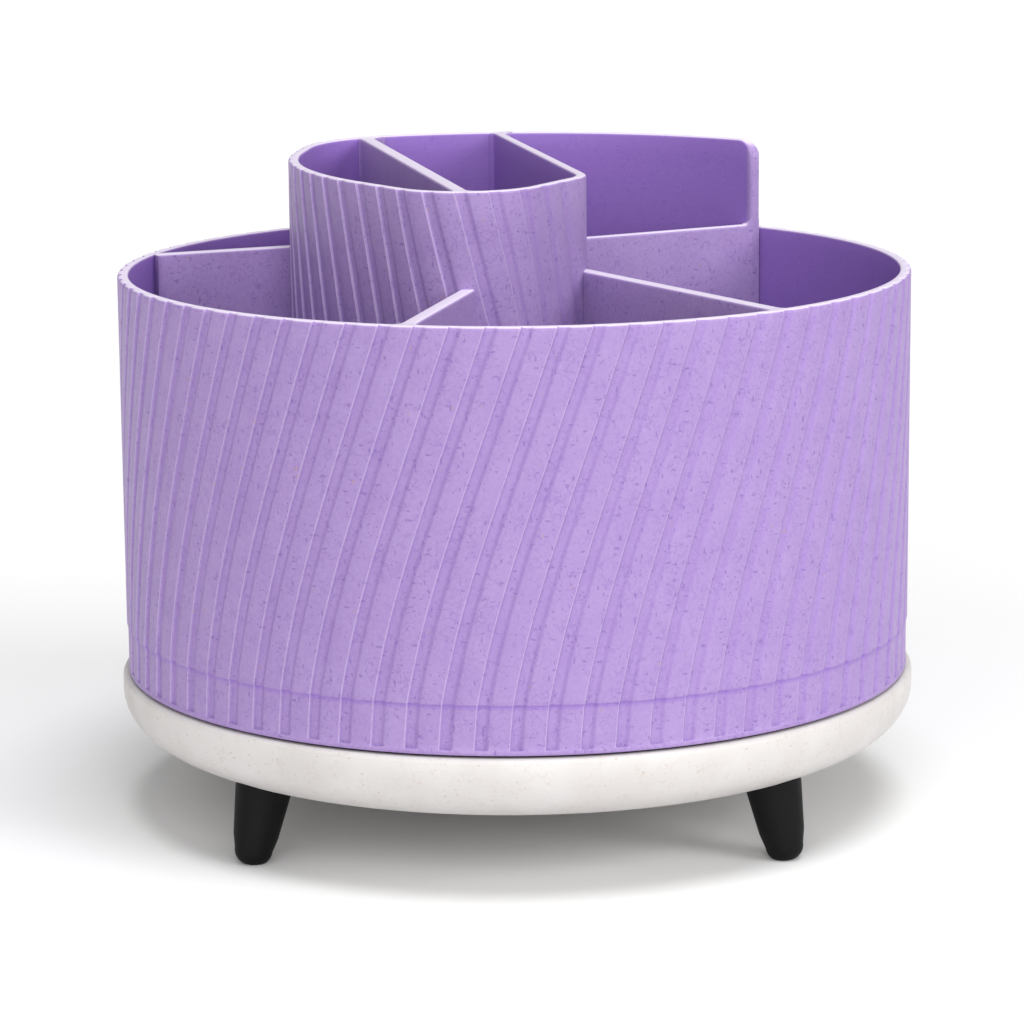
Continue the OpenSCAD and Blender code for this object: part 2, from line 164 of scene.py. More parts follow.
FLUTE_W = 0.42        # width of a flute as a share of the pitch
FLUTE_LEFT = 0.05     # width of the steep left side, as a share of the pitch
FLUTE_RIGHT = 0.17    # width of the gentle right side
# Painted shade in a flute's floor and on its gentle right side, and a painted highlight line along its left
# edge
FLUTE_FLOOR_SHADE = 0.1
FLUTE_SLOPE_SHADE = 0.9
HIGHLIGHT_W = 0.024   # half width of the pale line along a flute's left edge
# Columns of points across one pitch: close together at a flute's two sides
FLUTE_COLUMNS = np.array([0, 0.017, 0.034, 0.05, 0.15, 0.25, 0.293, 0.335, 0.378, 0.42, 0.7, 0.975])


def flute_depth(f):
    """Depth from 0 to 1 at a share f of the pitch: steep left side, flat floor, gentle right side."""
    f = f % 1.0
    return smooth_step(f / FLUTE_LEFT) * smooth_step((FLUTE_W - f) / FLUTE_RIGHT)


def flute_light_and_shade(f):
    """Painted shade and painted highlight at a share f of the pitch: shade that deepens the colour on the
    gentle right side and a little in the floor, and a highlight that pales it on a fine line along the left
    edge."""
    f = f % 1.0
    right = smooth_step((FLUTE_W - f) / FLUTE_RIGHT)
    groove_shade = FLUTE_FLOOR_SHADE * flute_depth(f) + FLUTE_SLOPE_SHADE * right * (1 - right)
    painted_highlight = np.clip(1 - np.minimum(f, 1 - f) / HIGHLIGHT_W, 0, 1)
    return groove_shade, painted_highlight


# ---- Drum -------------------------------------------------------------------

DRUM_FLUTES = 75
DRUM_FLUTE_DEPTH = 0.55
SKIRT_TAPER = 0.5
DRUM_LIP_H = 1.0
BAND_STEP = 0.24       # how far the plain band lies inside the wall above it
RIM_ROUND = 0.7
RIM_INNER_ROUND = 0.45
FLOOR_FILLET = 2       # between the drum's floor and its wall
# Painted shade along the crease
CREASE_SHADE = 0.6      # how much deeper the colour is along the crease


def drum_twist(z):
    """Angle that the flutes have turned through at height z: the integral of their slope over the radius.
    The slope is small in the plain band, a fifth just above the crease and a third in the upper half."""
    h = np.linspace(0, RIM_Z - DRUM_Z, 800)
    slope = np.interp(h, [0, SKIRT_H - 0.01, SKIRT_H + 0.01, 20, 28, 40, 52, RIM_Z - DRUM_Z],
                      [0.06, 0.10, 0.19, 0.24, 0.29, 0.335, 0.35, 0.345])
    turned = np.concatenate([[0], np.cumsum((slope[1:] + slope[:-1]) / 2 * np.diff(h))]) / DRUM_R
    return np.interp(z - DRUM_Z, h, turned)


def drum_section():
    """Rows of the drum's section as radius, height and share of the flute depth, from the pole under
    the hub out along the underside, up the outer face, over the rim and down to the middle of the floor."""
    under = [(PIVOT_R, PIVOT_HOLE_TOP, 0), (PIVOT_R, HUB_Z, 0), (HUB_R, HUB_Z, 0), (HUB_R, FLOOR_UNDER, 0),
             (SEAT_IN_R, FLOOR_UNDER, 0), (SEAT_IN_R, seat_high, 0), (SEAT_OUT_R, seat_high, 0),
             (SEAT_OUT_R, FLOOR_UNDER, 0), (DRUM_IN_R - SKIRT_TAPER, FLOOR_UNDER, 0),
             (DRUM_IN_R - SKIRT_TAPER, DRUM_Z + 0.3, 0), (DRUM_IN_R - SKIRT_TAPER + 0.3, DRUM_Z, 0)]
    lip_r = DRUM_R - SKIRT_TAPER / 4
    band_r = DRUM_R - BAND_STEP
    lip_top = DRUM_Z + DRUM_LIP_H
    lip = [(lip_r - 0.3, DRUM_Z, 0), (lip_r - 0.09, DRUM_Z + 0.09, 0), (lip_r, DRUM_Z + 0.3, 0),
           (lip_r, lip_top - 0.25, 0), (lip_r - 0.06, lip_top - 0.05, 0.05), (band_r, lip_top + 0.05, 1)]
    band = [(band_r, z, 1) for z in np.linspace(lip_top + 1, FLOOR_Z - 1, 4)]
    crease = [(band_r, FLOOR_Z - 0.3, 1), (band_r + 0.02, FLOOR_Z - 0.12, 1),
              (DRUM_R - 0.03, FLOOR_Z + 0.06, 1), (DRUM_R, FLOOR_Z + 0.25, 1)]
    wall = [(DRUM_R, z, 1) for z in np.linspace(FLOOR_Z + 1.5, RIM_Z - RIM_ROUND, 26)]
    turn = np.radians([15, 30, 45, 60, 75, 90])
    rim = [(DRUM_R - RIM_ROUND * (1 - math.cos(a)), RIM_Z - RIM_ROUND * (1 - math.sin(a)), 1) for a in turn]
    inner = [(DRUM_IN_R + RIM_INNER_ROUND * (1 - math.sin(a)), RIM_Z - RIM_INNER_ROUND * (1 - math.cos(a)), 0)
             for a in np.radians([0, 22, 45, 67, 90])]
    inner += [(DRUM_IN_R, z, 0) for z in np.linspace(RIM_Z - 3, FLOOR_Z + FLOOR_FILLET, 4)]
    inner += [(DRUM_IN_R - FLOOR_FILLET * (1 - math.cos(a)), FLOOR_Z + FLOOR_FILLET * (1 - math.sin(a)), 0)
              for a in np.radians([30, 60, 90])]
    floor = [(50, FLOOR_Z, 0), (20, FLOOR_Z, 0)]
    return np.array(under + lip + band + crease + wall + rim + inner + floor)


def make_drum(material):
    """Lathe of the section: point = (r - depth * share) at an angle that turns on with drum_twist(z)."""
    r, z, share = drum_section().T
    pitch = 2 * math.pi / DRUM_FLUTES
    columns = (np.arange(DRUM_FLUTES)[:, None] + FLUTE_COLUMNS).ravel()
    depth = DRUM_FLUTE_DEPTH * flute_depth(columns)
    angle = columns[None, :] * pitch + drum_twist(z)[:, None]
    radius = r[:, None] - share[:, None] * depth[None, :]
    height = np.broadcast_to(z[:, None], angle.shape)
    points = np.stack([radius * np.cos(angle), radius * np.sin(angle), height], axis=-1).reshape(-1, 3)
    rows, cols = angle.shape
    points = np.concatenate([points, [[0, 0, PIVOT_HOLE_TOP], [0, 0, FLOOR_Z]]])
    faces = [grid_quads(rows, cols, wrap_cols=True), pole_fan(0, cols, rows * cols, flip=True),
             pole_fan((rows - 1) * cols, cols, rows * cols + 1)]
    # Painted shade on the faces inside the drum, on the flutes' gentle sides and along the crease; painted
    # highlight on the flutes' left edges
    hollow = (r <= DRUM_IN_R + 0.01) & (z > FLOOR_Z - 0.01)
    shade_line, highlight_line = flute_light_and_shade(columns)
    # Painted shade along the crease
    crease = CREASE_SHADE * (np.abs(z - FLOOR_Z + 0.15) < 0.25) * (r > DRUM_IN_R + 1)
    inner = np.concatenate([(hollow[:, None] + share[:, None] * shade_line + crease[:, None]).ravel(), [0, 1]])
    painted_highlight = np.concatenate([(share[:, None] * highlight_line).ravel(), [0, 0]])
    piece = new_piece("drum_skin", points, faces, material, "drum", sharp=40,
                      inner=inner, painted_highlight=painted_highlight)
    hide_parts("drum_shell")
    return piece


# ---- Outline of the insert --------------------------------------------------

TALL_END_ANGLE = math.radians(46.5)
LOW_WALL_ANGLE = math.radians(28)
BACK_CORNER_ANGLE = math.radians(110.6)
BACK_CORNER_R = 27.5
FRONT_RIGHT_ARC = (1.6, -3.9, 12.7)
LEFT_SIDE_ARC = (28.6, 30.9, 74.4)
FRONT_ARC = (-9.3, -14.3, 16.8)
RIGHT_WALL_FACING = math.radians(12.1)


def facing(p, q):
    """Facing angle of the straight side from arc p to arc q: way to q less acos of (rp - rq) over distance."""
    dx, dy = q[0] - p[0], q[1] - p[1]
    return math.atan2(dy, dx) - math.acos((p[2] - q[2]) / math.hypot(dx, dy))


def arc_run(centre, r, a0, a1):
    """Points and outward normals along an arc, about one for each half degree."""
    a = np.linspace(a0, a1, max(3, int(abs(a1 - a0) / math.radians(0.5))))
    normal = np.stack([np.cos(a), np.sin(a)], axis=-1)
    return np.array(centre[:2]) + r * normal, normal


def insert_outline():
    """Outer face of the insert as one open run, counter-clockwise from the free end of the tall wall,
    round the back, the left side and the front, then back along the straight right wall."""
    corner_way = np.array([math.cos(BACK_CORNER_ANGLE), math.sin(BACK_CORNER_ANGLE)])
    back_left = (*((INSERT_R - BACK_CORNER_R) * corner_way), BACK_CORNER_R)
    turn = 2 * math.pi
    a_left = facing(back_left, LEFT_SIDE_ARC) % turn
    a_front = facing(LEFT_SIDE_ARC, FRONT_ARC) % turn
    a_corner = facing(FRONT_ARC, FRONT_RIGHT_ARC) % turn
    a_right = RIGHT_WALL_FACING + turn
    runs = [arc_run((0, 0), INSERT_R, TALL_END_ANGLE, BACK_CORNER_ANGLE),
            arc_run(back_left, BACK_CORNER_R, BACK_CORNER_ANGLE, a_left),
            arc_run(LEFT_SIDE_ARC, LEFT_SIDE_ARC[2], a_left, a_front),
            arc_run(FRONT_ARC, FRONT_ARC[2], a_front, a_corner),
            arc_run(FRONT_RIGHT_ARC, FRONT_RIGHT_ARC[2], a_corner, a_right)]
    points = np.concatenate([p for p, _ in runs])
    normals = np.concatenate([n for _, n in runs])
    n = normals[-1]
    along = np.array([-n[1], n[0]])
    start = points[-1]
    # Distance along the wall to the inner face of the back wall, where the wall ends
    back_r = INSERT_R - INSERT_WALL
    reach = -start @ along + math.sqrt((start @ along) ** 2 - start @ start + back_r ** 2)
    points = np.concatenate([points, [start + reach * along]])
    normals = np.concatenate([normals, [n]])
    s = np.concatenate([[0], np.cumsum(np.linalg.norm(np.diff(points, axis=0), axis=1))])
    corner_s = s[-2]
    return s, points, normals, corner_s


outline_s, outline_p, outline_n, outline_corner = insert_outline()


def on_outline(s, inset):
    """Points at run s along the outline, drawn in by inset; past its ends the run goes straight on."""
    end = outline_s[-1]
    clipped = np.clip(s, 0, end)
    p = np.stack([np.interp(clipped, outline_s, outline_p[:, k]) for k in (0, 1)], axis=-1)
    n = np.stack([np.interp(clipped, outline_s, outline_n[:, k]) for k in (0, 1)], axis=-1)
    n /= np.linalg.norm(n, axis=-1, keepdims=True)
    along = np.stack([-n[..., 1], n[..., 0]], axis=-1)
    return p + (s - clipped)[..., None] * along - inset[..., None] * n


# ---- Tall insert ------------------------------------------------------------

CUP_PITCH = 6.6
CUP_FLUTE_DEPTH = 0.45
CUP_FLUTE_SLOPE = 0.25
END_CORNER_R = 4.0
END_ROUND = 0.6
JOINT_FILLET = 2.5
WALL_END_IN = 0.9      # how far the right wall's end runs into the back wall
LEAN_IN = 45           # run over which the flutes' lean grows from nothing at the free end
LEAN_OUT = 60          # and over which it fades out towards the end of the right wall
END_SKEW = 0.33        # sideways slope of the free end's face
CORNER_RUN = 14        # run past the front right corner that keeps close columns


def wall_section(z0, z1, outer_rows, round_r=0.6):
    """Closed section of a wall as share across it (0 outer, 1 inner), offset from that face, and height."""
    rows = [(0, 0, z) for z in np.linspace(z0, z1 - round_r, outer_rows)]
    rows += [(0, round_r * (1 - math.cos(a)), z1 - round_r * (1 - math.sin(a)))
             for a in np.radians([22, 45, 67, 90])]
    rows += [(1, -round_r * (1 - math.sin(a)), z1 - round_r * (1 - math.cos(a)))
             for a in np.radians([0, 22, 45, 67, 90])]
    rows += [(1, 0, z) for z in np.linspace(z1 - 4, z0, 4)]
    return np.array(rows)


def make_insert(material):
    """Wall carried along the outline. Point = outline at run s less inset, where s slides back with height
    so that the flutes lean to the left, and the inset follows the section, the flutes and the end fillets."""
    side, offset, z = wall_section(FLOOR_Z, TALL_Z, 15).T
    end = outline_s[-1]
    flutes = int(outline_corner / CUP_PITCH)
    fluted = (np.arange(flutes)[:, None] + FLUTE_COLUMNS).ravel() * CUP_PITCH
    first = np.array([0, 0.05, 0.15, 0.3, 0.45, 0.6, 0.9, 1.4, 2, 2.8, 3.6, 4.2])
    last = end - np.array([45, 30, 15, 6, 3.4, 2.5, 1.8, 1.2, 0.8, 0.45, 0.2, 0, -WALL_END_IN])
    middle = fluted[(fluted > first[-1] + 0.2)]
    corner = np.arange(middle[-1] + 1, outline_corner + CORNER_RUN, 1.0)
    columns = np.concatenate([first, middle, corner, last[last > corner[-1] + 1]])
    lean = smooth_step(columns / LEAN_IN) * smooth_step((end - columns) / LEAN_OUT)
    rise = np.clip(z, FLOOR_Z, TALL_Z) - (FLOOR_Z + TALL_Z) / 2
    s = columns[None, :] - CUP_FLUTE_SLOPE * rise[:, None] * lean[None, :]
    share = smooth_step((columns - 6) / 4) * smooth_step((outline_corner + 4 - columns) / 5)
    depth = CUP_FLUTE_DEPTH * flute_depth(columns / CUP_PITCH) * share
    rounding = fillet(columns, END_ROUND)
    to_end = np.clip(end - columns, 0, None)
    out_flare, in_flare = fillet(to_end, JOINT_FILLET), fillet(to_end, JOINT_FILLET / 3)
    outer = offset[:, None] + depth[None, :] + rounding[None, :] - out_flare[None, :]
    inner = INSERT_WALL + offset[:, None] - rounding[None, :] + in_flare[None, :]
    inset = np.where(side[:, None] < 0.5, outer, inner)
    # The free end is cut in the plane of the low wall, not square across
    skew = END_SKEW * inset * smooth_step(1 - columns / 8)[None, :]
    xy = on_outline(s + skew, inset)
    drop = fillet(columns, END_CORNER_R)
    height = z[:, None] - drop[None, :] * smooth_step((z - TALL_Z + 12) / 12)[:, None]
    wall = np.concatenate([xy, height[..., None]], axis=-1)
    rows, cols = height.shape
    ends = [np.arange(rows)[None, :] * cols, np.arange(rows)[None, ::-1] * cols + cols - 1]
    parts = [(wall.reshape(-1, 3), [grid_quads(rows, cols, wrap_rows=True)] + ends)]
    parts.append(low_wall_part())
    parts += floor_parts()
    points, faces = join_parts(parts)
    # Painted shade on the wall's inner faces and on the flutes' gentle sides; painted highlight on the flutes'
    # left edges
    hollow = (side[:, None] > 0.5) & (offset[:, None] > -0.1) & (columns[None, :] > 1)
    fluted_face = (side[:, None] < 0.5) * share[None, :]
    shade_line, highlight_line = flute_light_and_shade(columns / CUP_PITCH)
    others = np.zeros(len(points) - height.size)
    inner = np.concatenate([(hollow + fluted_face * shade_line).ravel(), others])
    painted_highlight = np.concatenate([(fluted_face * highlight_line).ravel(), others])
    piece = new_piece("tall_insert_skin", points, faces, material, "drum", sharp=40,
                      inner=inner, painted_highlight=painted_highlight)
    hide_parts("tall_insert")
    return piece


def plate_part(start, end, thickness, z0, z1, flare0=0.0, flare1=0.0, round_r=0.6, lift=None):
    """Closed plate from start to end. Each column's section has rounded top edges; the half thickness grows
    by a quarter round of radius flare0 and flare1 at the two ends. lift adds to the top along the length."""
    start, end = np.array(start, float), np.array(end, float)
    length = np.linalg.norm(end - start)
    along = (end - start) / length
    across = np.array([-along[1], along[0]])
    near = np.array([0, 0.1, 0.25, 0.45, 0.7, 1.0, 1.4, 1.9, 2.5, 3.2])
    columns = np.concatenate([near, np.linspace(4, length - 4, 12), length - near[::-1]])
    side, offset, z = wall_section(z0, z1, 5, round_r).T
    half = thickness / 2 + fillet(columns, max(flare0, 1e-6)) + fillet(length - columns, max(flare1, 1e-6))
    y = np.where(side[:, None] < 0.5, -half[None, :] + offset[:, None], half[None, :] + offset[:, None])
    xy = start + columns[None, :, None] * along + y[..., None] * across
    top = np.zeros(len(columns)) if lift is None else lift(columns, length)
    height = z[:, None] + top[None, :] * smooth_step((z - z1 + 8) / 7)[:, None]
    points = np.concatenate([xy, height[..., None]], axis=-1)
    rows, cols = height.shape
    ends = [np.arange(rows)[None, :] * cols, np.arange(rows)[None, ::-1] * cols + cols - 1]
    return points.reshape(-1, 3), [grid_quads(rows, cols, wrap_rows=True)] + ends


LOW_WALL_L = 51.5


def low_wall_part():
    """Low front wall of the rear compartment: its face is flush with the free end, where its top curves up."""
    corner = INSERT_R * np.array([math.cos(TALL_END_ANGLE), math.sin(TALL_END_ANGLE)])
    along = np.array([math.cos(LOW_WALL_ANGLE), math.sin(LOW_WALL_ANGLE)])
    across = np.array([-along[1], along[0]])
    right = corner + across * INSERT_WALL / 2 - along * 0.25
    left = corner + across * INSERT_WALL / 2 - along * LOW_WALL_L
    rise = 1.6
    end_run = 1.9

    def curve_up(x, length):
        """Quarter round that lifts the top near the free end, then stays level."""
        at_end = x >= length - end_run
        return fillet(length - end_run - x, rise) * ~at_end + rise * at_end

    return plate_part(left, right, INSERT_WALL, FLOOR_Z, LOW_WALL_Z, flare0=1.5, lift=curve_up)


def prism_part(outline, z0, z1):
    """Closed prism over a plan outline given counter-clockwise."""
    n = len(outline)
    low = np.column_stack([outline, np.full(n, z0)])
    high = np.column_stack([outline, np.full(n, z1)])
    ends = [np.arange(n)[None, ::-1], np.arange(n)[None, :] + n]
    return np.concatenate([low, high]), [grid_quads(2, n, wrap_cols=True)] + ends


def floor_parts():
    """Floors of the pen cup and of the rear compartment, running halfway into the walls round them."""
    half = INSERT_WALL / 2
    top = FLOOR_Z + INSERT_FLOOR
    junction = outline_p[-1]
    back_s = INSERT_R * (math.atan2(junction[1], junction[0]) - TALL_END_ANGLE)
    cup_s = np.linspace(back_s, outline_s[-1], 160)
    cup = on_outline(cup_s, np.full(cup_s.shape, half))
    rear_s = np.linspace(1, back_s, 40)
    rear = on_outline(rear_s, np.full(rear_s.shape, half))
    wall_s = np.linspace(outline_s[-1], outline_corner + 35, 8)
    wall = on_outline(wall_s, np.full(wall_s.shape, half))
    return [prism_part(cup, FLOOR_Z, top), prism_part(np.concatenate([rear, wall]), FLOOR_Z, top)]


# ---- Dividers ---------------------------------------------------------------


def wall_point(degrees, radius):
    """Point on the drum at an angle round it."""
    a = math.radians(degrees)
    return radius * np.array([math.cos(a), math.sin(a)])


def short_of(start, aim, short):
    """Point that lies short of aim, on the way from start."""
    start, aim = np.array(start, float), np.array(aim, float)
    way = (aim - start) / np.linalg.norm(aim - start)
    return aim - short * way


TOP_DROP = 0.04        # how far a divider's top lies under the rim beside it


def make_divider(node, points, faces, material):
    """One divider's plate, in place of its CAD node."""
    piece = new_piece(node + "_plate", points, faces, material, "drum", sharp=40)
    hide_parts(node)
    return piece


def make_dividers(material):
    """Low dividers from the drum's wall to the cup, and the cup's own divider from back to front. Each low one
    has its angle on the wall, the point it aims at, how far short of that it stops, and its fillet."""
    low = {"front_left_divider": (-104.9, (-7.5, -25.4), 5.0, 3.0),
           "front_right_divider": (-50.5, (10.6, -0.9), 5.0, 2.2),
           "left_rear_divider": (163.5, (-41.8, 34.1), 4.0, 1.5)}
    for node, (degrees, aim, short, flare) in low.items():
        start = wall_point(degrees, DRUM_IN_R + 0.4)
        end = short_of(start, aim, short)
        plate = plate_part(start, end, DIVIDER_T, FLOOR_Z, RIM_Z - TOP_DROP, flare0=flare)
        make_divider(node, *plate, material)
    back, front = cup_divider_ends()
    plate = plate_part(back, front, DIVIDER_T, FLOOR_Z + INSERT_FLOOR, TALL_Z - TOP_DROP,
                       flare0=2.6, flare1=2.2)
    make_divider("cup_divider", *plate, material)


def cup_divider_ends():
    """Where the cup divider's line meets the outline, drawn in to just inside the wall's inner face."""
    centre = np.array([-19.8, 15.5])
    a = math.radians(-77.3)
    along, across = np.array([math.cos(a), math.sin(a)]), np.array([-math.sin(a), math.cos(a)])
    rel = on_outline(outline_s, np.full(outline_s.shape, INSERT_WALL - 0.35)) - centre
    y, x = rel @ across, rel @ along
    crossing = np.nonzero(np.sign(y[1:]) != np.sign(y[:-1]))[0]
    hits = [x[i] + (x[i + 1] - x[i]) * y[i] / (y[i] - y[i + 1]) for i in crossing]
    return centre + min(hits) * along, centre + max(hits) * along


# ---- Base and feet ----------------------------------------------------------


def smooth_copy(node, name, material, body, sharp=50):
    """Copy of a CAD node's mesh with its loose triangles merged and its round faces shaded smooth."""
    mesh = frame["nodes"][node].data.copy()
    mesh.name = name
    loose = bmesh.new()
    loose.from_mesh(mesh)
    bmesh.ops.remove_doubles(loose, verts=loose.verts, dist=2e-6)
    loose.to_mesh(mesh)
    loose.free()
    for layer in [a.name for a in mesh.attributes if a.name == "custom_normal"]:
        mesh.attributes.remove(mesh.attributes[layer])
    mesh.polygons.foreach_set("use_smooth", np.ones(len(mesh.polygons), bool))
    mesh.set_sharp_from_angle(angle=math.radians(sharp))
    mesh.materials.clear()
    mesh.materials.append(material)
    piece = bpy.data.objects.new(name, mesh)
    bpy.context.scene.collection.objects.link(piece)
    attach(piece, body)
    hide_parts(node)
    return piece


FOOT_CENTRE_R = DRUM_R + 1 - 10.5
FOOT_SPLAY = math.radians(14)
FOOT_TOP_R = 5.4
FOOT_TAPER = 0.12
FOOT_TIP_R = 3.0
FOOT_EMBED = 5.0


def make_foot(name, azimuth, material):
    """Lathe of a tapered profile with a rounded tip, leaned outwards and cut level where it meets the desk."""
    tip = -BASE_Z / math.cos(FOOT_SPLAY) - 0.35
    tip_r = FOOT_TOP_R + FOOT_TAPER * tip
    a = np.radians(np.linspace(0, 90, 12))
    shank = np.linspace(-9, FOOT_EMBED - 0.4, 12)
    r = np.concatenate([tip_r - FOOT_TIP_R + FOOT_TIP_R * np.sin(a), FOOT_TOP_R + FOOT_TAPER * shank,
                        [FOOT_TOP_R + FOOT_TAPER * FOOT_EMBED - 0.35]])
    z = np.concatenate([tip + FOOT_TIP_R * (1 - np.cos(a)), shank, [FOOT_EMBED]])
    cols = 64
    turn = np.arange(cols) * 2 * math.pi / cols
    height = np.broadcast_to(z[:, None], (len(z), cols))
    points = np.stack([r[:, None] * np.cos(turn), r[:, None] * np.sin(turn), height], axis=-1)
    points = np.concatenate([points.reshape(-1, 3), [[0, 0, tip], [0, 0, FOOT_EMBED]]])
    faces = [grid_quads(len(z), cols, wrap_cols=True), pole_fan(0, cols, len(z) * cols, flip=True),
             pole_fan((len(z) - 1) * cols, cols, len(z) * cols + 1)]
    lean = Matrix.Translation((FOOT_CENTRE_R, 0, BASE_Z)) @ Matrix.Rotation(-FOOT_SPLAY, 4, "Y")
    place = np.array(Matrix.Rotation(azimuth, 4, "Z") @ lean)
    points = points @ place[:3, :3].T + place[:3, 3]
    points[:, 2] = np.maximum(points[:, 2], 0)
    piece = new_piece(name + "_leg", points, faces, material, "base", sharp=50)
    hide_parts(name)
    return piece


# ---- Materials --------------------------------------------------------------


def srgb(*rgb):
    """Linear colour from display values between 0 and 255."""
    c = np.array(rgb) / 255
    return tuple(np.where(c <= 0.04045, c / 12.92, ((c + 0.055) / 1.055) ** 2.4)) + (1.0,)


LILAC = srgb(161, 138, 187)
LILAC_DEEP = srgb(149, 123, 179)
# Colour of painted shade in hollows, along the crease and on the flutes' sides
LILAC_SHADE = srgb(136, 99, 186)
LILAC_FLECK = srgb(104, 74, 148)
# Colour of painted highlights on flute edges and of painted top light on faces that look up
LILAC_HIGHLIGHT = srgb(222, 212, 231)
STRAW = srgb(170, 135, 105)
STONE = srgb(204, 201, 199)
STONE_DEEP = srgb(197, 193, 190)


class Nodes:
    """Short calls for building a material's node tree."""

    def __init__(self, name):
        self.material = bpy.data.materials.new(name)
        self.material.use_nodes = True
        self.tree = self.material.node_tree
        self.tree.nodes.clear()
        self.out = self.tree.nodes.new("ShaderNodeOutputMaterial")
        self.shader = self.tree.nodes.new("ShaderNodeBsdfPrincipled")
        self.link(self.shader.outputs["BSDF"], self.out.inputs["Surface"])
        self.place = self.tree.nodes.new("ShaderNodeTexCoord").outputs["Object"]

    def link(self, a, b):
        """Join output a to input b."""
        self.tree.links.new(a, b)

    def noise(self, scale, detail=2.0, rough=0.5, distort=0.0, vector=None):
        """Noise between 0 and 1, on the piece's own coordinates unless a vector is given."""
        n = self.tree.nodes.new("ShaderNodeTexNoise")
        n.inputs["Scale"].default_value = scale
        n.inputs["Detail"].default_value = detail
        n.inputs["Roughness"].default_value = rough
        n.inputs["Distortion"].default_value = distort
        self.link(vector or self.place, n.inputs["Vector"])
        return n.outputs["Fac"]

    def shifted(self, offset, scale=(1, 1, 1), turn=(0, 0, 0)):
        """The piece's own coordinates, moved, stretched or turned."""
        m = self.tree.nodes.new("ShaderNodeMapping")
        m.inputs["Location"].default_value = offset
        m.inputs["Scale"].default_value = scale
        m.inputs["Rotation"].default_value = turn
        self.link(self.place, m.inputs["Vector"])
        return m.outputs["Vector"]

    def attribute(self, name):
        """Value that a piece stores at each point."""
        n = self.tree.nodes.new("ShaderNodeAttribute")
        n.attribute_name = name
        return n.outputs["Fac"]

    def feed(self, value, socket):
        """Set a socket to a number or colour, or link another node's output to it."""
        if isinstance(value, (int, float, tuple)):
            socket.default_value = value
        else:
            self.link(value, socket)

    def math(self, kind, a, b=None):
        """Result of one sum on one or two values."""
        n = self.tree.nodes.new("ShaderNodeMath")
        n.operation = kind
        self.feed(a, n.inputs[0])
        if b is not None:
            self.feed(b, n.inputs[1])
        return n.outputs["Value"]

    def ramp(self, fac, low, high):
        """0 where fac is at low, 1 where it is at high, smooth between."""
        n = self.tree.nodes.new("ShaderNodeMapRange")
        n.interpolation_type = "SMOOTHSTEP"
        n.inputs["From Min"].default_value = low
        n.inputs["From Max"].default_value = high
        self.link(fac, n.inputs["Value"])
        return n.outputs["Result"]

    def mix(self, fac, a, b):
        """Colour a where fac is 0 and b where it is 1."""
        n = self.tree.nodes.new("ShaderNodeMix")
        n.data_type = "RGBA"
        self.feed(fac, n.inputs["Factor"])
        self.feed(a, n.inputs["A"])
        self.feed(b, n.inputs["B"])
        return n.outputs["Result"]

    def channel(self, colour):
        """Red part of a colour, used as one random value."""
        n = self.tree.nodes.new("ShaderNodeSeparateColor")
        self.link(colour, n.inputs["Color"])
        return n.outputs["Red"]

    def bump(self, height, strength, distance):
        """Fine relief on the shader's normal."""
        n = self.tree.nodes.new("ShaderNodeBump")
        n.inputs["Strength"].default_value = strength
        n.inputs["Distance"].default_value = distance
        self.link(height, n.inputs["Height"])
        self.link(n.outputs["Normal"], self.shader.inputs["Normal"])

    def set(self, **values):
        """Constant values, given by socket name with _ for a space."""
        for name, value in values.items():
            self.shader.inputs[name.replace("_", " ")].default_value = value


def squiggles(m, scale, width, patch_scale, patch_low, patch_high, offset):
    """Short curved fibres: thin lines where one noise crosses its middle, kept only in patches of another."""
    vector = m.shifted(offset)
    ridge = m.math("ABSOLUTE", m.math("SUBTRACT", m.noise(scale, detail=1.0, vector=vector), 0.5))
    line = m.math("SUBTRACT", 1.0, m.ramp(ridge, width * 0.4, width))
    patch = m.ramp(m.noise(patch_scale, detail=1.0, vector=vector), patch_low, patch_high)
    return m.math("MULTIPLY", line, patch)


def flecks(m, scale, size, share, offset, stretch=(1, 1, 1)):
    """Small torn flecks: in a share of a Voronoi pattern's cells, what lies nearer to the cell's point than
    size, after the coordinates have been stretched and pushed about by a fine noise."""
    vector = m.shifted(offset, stretch)
    wobble = m.tree.nodes.new("ShaderNodeTexNoise")
    wobble.inputs["Scale"].default_value = scale * 2.5
    m.link(vector, wobble.inputs["Vector"])
    push = m.tree.nodes.new("ShaderNodeVectorMath")
    push.operation = "MULTIPLY_ADD"
    m.link(wobble.outputs["Color"], push.inputs[0])
    push.inputs[1].default_value = (0.5 / scale,) * 3
    m.link(vector, push.inputs[2])
    cell = m.tree.nodes.new("ShaderNodeTexVoronoi")
    cell.inputs["Scale"].default_value = scale
    m.link(push.outputs["Vector"], cell.inputs["Vector"])
    near = m.math("SUBTRACT", 1.0, m.ramp(cell.outputs["Distance"], size * 0.5, size))
    chosen = m.math("LESS_THAN", m.channel(cell.outputs["Color"]), share)
    return m.math("MULTIPLY", near, chosen)


